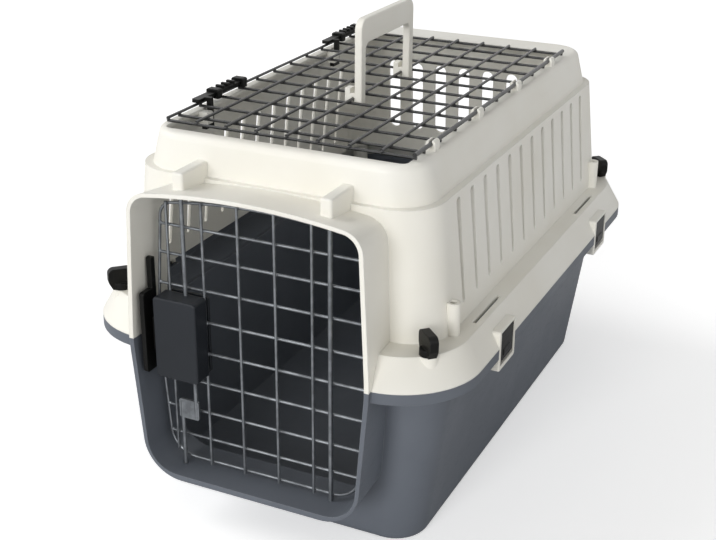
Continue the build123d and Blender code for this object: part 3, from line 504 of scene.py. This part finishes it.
# %% [markdown]
# ## Welded crossings
#
# Where two wires of a grille cross, a resistance welder presses them together, and a small bead of
# melted steel fills the corner between them. Placing over a hundred beads by hand would be slow and
# uneven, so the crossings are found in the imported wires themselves. Each wire is an island of
# joined faces, and its box tells which way it runs.

# %% Find the wires and their crossings
X, Y, Z = 0, 1, 2
FRAME_OVERHANG = 0.0015  # metres from an upright's top end down to its weld on the frame


def wires_of(name):
    """Lowest and highest corner of each separate wire in a grille."""
    mesh = merged(name)
    reached = set()
    wires = []
    for start in mesh.verts:
        if start in reached:
            continue
        reached.add(start)
        island = [start]
        for vertex in island:
            for edge in vertex.link_edges:
                other = edge.other_vert(vertex)
                if other not in reached:
                    reached.add(other)
                    island.append(other)
        corners = list(zip(*[vertex.co for vertex in island]))
        wires.append((Vector([min(c) for c in corners]), Vector([max(c) for c in corners])))
    mesh.free()
    return wires


def along(wires, axis):
    """The wires that run along one axis: 0, 1 or 2 for X, Y or Z."""
    return [(low, high) for low, high in wires
            if max(range(3), key=lambda i: high[i] - low[i]) == axis]


def crossings(first, second, first_axis, second_axis):
    """Points where each wire of one set touches each wire of the other.

    On the axis across both, the point is midway between them. On the other two axes it follows the
    wire that stands still there.
    """
    points = []
    for low, high in first:
        for other_low, other_high in second:
            point = (low + high + other_low + other_high) / 4
            point[first_axis] = (other_low[first_axis] + other_high[first_axis]) / 2
            point[second_axis] = (low[second_axis] + high[second_axis]) / 2
            points.append(point)
    return points


door_wires = wires_of("front_door_grille")
level_bars, uprights = along(door_wires, X), along(door_wires, Z)
door_points = crossings(level_bars, uprights, X, Z)
for low, high in level_bars:
    middle = (low + high) / 2
    door_points += [Vector((low.x, middle.y, middle.z)), Vector((high.x, middle.y, middle.z))]
frame_low, frame_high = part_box("front_door_frame")
weld_y = (frame_low[Y] + uprights[0][1].y) / 2
for low, high in uprights:
    door_points.append(Vector(((low.x + high.x) / 2, weld_y, high.z - FRAME_OVERHANG)))

top_wires = wires_of("top_door_grille")
top_points = crossings(along(top_wires, X), along(top_wires, Y), X, Y)
print(len(door_points), "welds on the door,", len(top_points), "on the top grille")

# %% [markdown]
# ## The bead tree
#
# A weld bead is a flattened drop, a little wider than the wire. A Python loop could copy one, but a
# Geometry Nodes tree does it for any list of points, and its Random Value node makes each bead a
# little different in size. The instances are realized, because only real faces can be exported.

# %% Build the tree that grows the beads
BEAD_SEGMENTS, BEAD_RINGS = 12, 7


def weld_bead_tree():
    """Geometry Nodes: one flattened bead on every point, each a little different."""
    tree = bpy.data.node_groups.new("weld_beads", "GeometryNodeTree")
    sockets = {}
    for name, kind in (("Points", "Geometry"), ("Bead size", "Vector"), ("Unevenness", "Float"),
                       ("Seed", "Int"), ("Finish", "Material")):
        made = tree.interface.new_socket(name, in_out="INPUT", socket_type="NodeSocket" + kind)
        sockets[name] = made.identifier
    tree.interface.new_socket("Beads", in_out="OUTPUT", socket_type="NodeSocketGeometry")

    def node(kind, settings, values):
        return add_node(tree, kind, settings, values)

    given = node("NodeGroupInput", {}, {}).outputs
    smaller = node("ShaderNodeMath", {"operation": "SUBTRACT"}, {0: 1.0, 1: given["Unevenness"]})
    larger = node("ShaderNodeMath", {"operation": "ADD"}, {0: 1.0, 1: given["Unevenness"]})
    lowest = node("ShaderNodeCombineXYZ", {}, {i: smaller.outputs[0] for i in range(3)})
    highest = node("ShaderNodeCombineXYZ", {}, {i: larger.outputs[0] for i in range(3)})
    chance = node("FunctionNodeRandomValue", {"data_type": "FLOAT_VECTOR"},
                  {0: lowest.outputs[0], 1: highest.outputs[0], "Seed": given["Seed"]})
    size = node("ShaderNodeVectorMath", {"operation": "MULTIPLY"},
                {0: given["Bead size"], 1: chance.outputs[0]})
    bead = node("GeometryNodeMeshUVSphere", {},
                {"Segments": BEAD_SEGMENTS, "Rings": BEAD_RINGS, "Radius": 1.0})
    placed = node("GeometryNodeInstanceOnPoints", {},
                  {"Points": given["Points"], "Instance": bead.outputs["Mesh"],
                   "Scale": size.outputs[0]})
    real = node("GeometryNodeRealizeInstances", {}, {"Geometry": placed.outputs[0]})
    smooth = node("GeometryNodeSetShadeSmooth", {}, {"Geometry": real.outputs[0]})
    coloured = node("GeometryNodeSetMaterial", {},
                    {"Geometry": smooth.outputs[0], "Material": given["Finish"]})
    node("NodeGroupOutput", {}, {"Beads": coloured.outputs[0]})
    return tree, sockets


bead_tree, bead_sockets = weld_bead_tree()
print("bead tree with inputs", ", ".join(bead_sockets))

# %% [markdown]
# ## Beads on both grilles
#
# The tree runs as a modifier on a mesh of loose points, one for each crossing. Its result is kept
# as a plain mesh and the points are removed, so that nothing is left for an exporter to work out.
# Each set of beads rides with its own door.

# %% Grow the beads
DOOR_BEAD = (0.0016, 0.0011, 0.0016)  # metres from a bead's middle to its skin
TOP_BEAD = (0.0016, 0.0016, 0.0012)


def grow(name, points, tree, sockets, values):
    """Runs a tree on loose points and keeps the result as a plain mesh at the origin."""
    seeds = bpy.data.meshes.new(name + "_points")
    seeds.from_pydata(points, [], [])
    host = link_piece(name + "_host", seeds)
    modifier = host.modifiers.new("grow", "NODES")
    modifier.node_group = tree
    for key, value in values.items():
        modifier[sockets[key]] = value
    graph = bpy.context.evaluated_depsgraph_get()
    mesh = bpy.data.meshes.new_from_object(host.evaluated_get(graph), depsgraph=graph)
    mesh.name = name
    host.modifiers.remove(modifier)
    bpy.data.objects.remove(host)
    bpy.data.meshes.remove(seeds)
    print(name, "has", len(mesh.polygons), "faces")
    return link_piece(name, mesh)


door_welds = grow("door_welds", door_points, bead_tree, bead_sockets,
                  {"Bead size": DOOR_BEAD, "Unevenness": 0.12, "Seed": 3, "Finish": door_wire})
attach(door_welds, "front_door")
top_welds = grow("top_grille_welds", top_points, bead_tree, bead_sockets,
                 {"Bead size": TOP_BEAD, "Unevenness": 0.15, "Seed": 8, "Finish": top_wire})
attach(top_welds, "top_door")
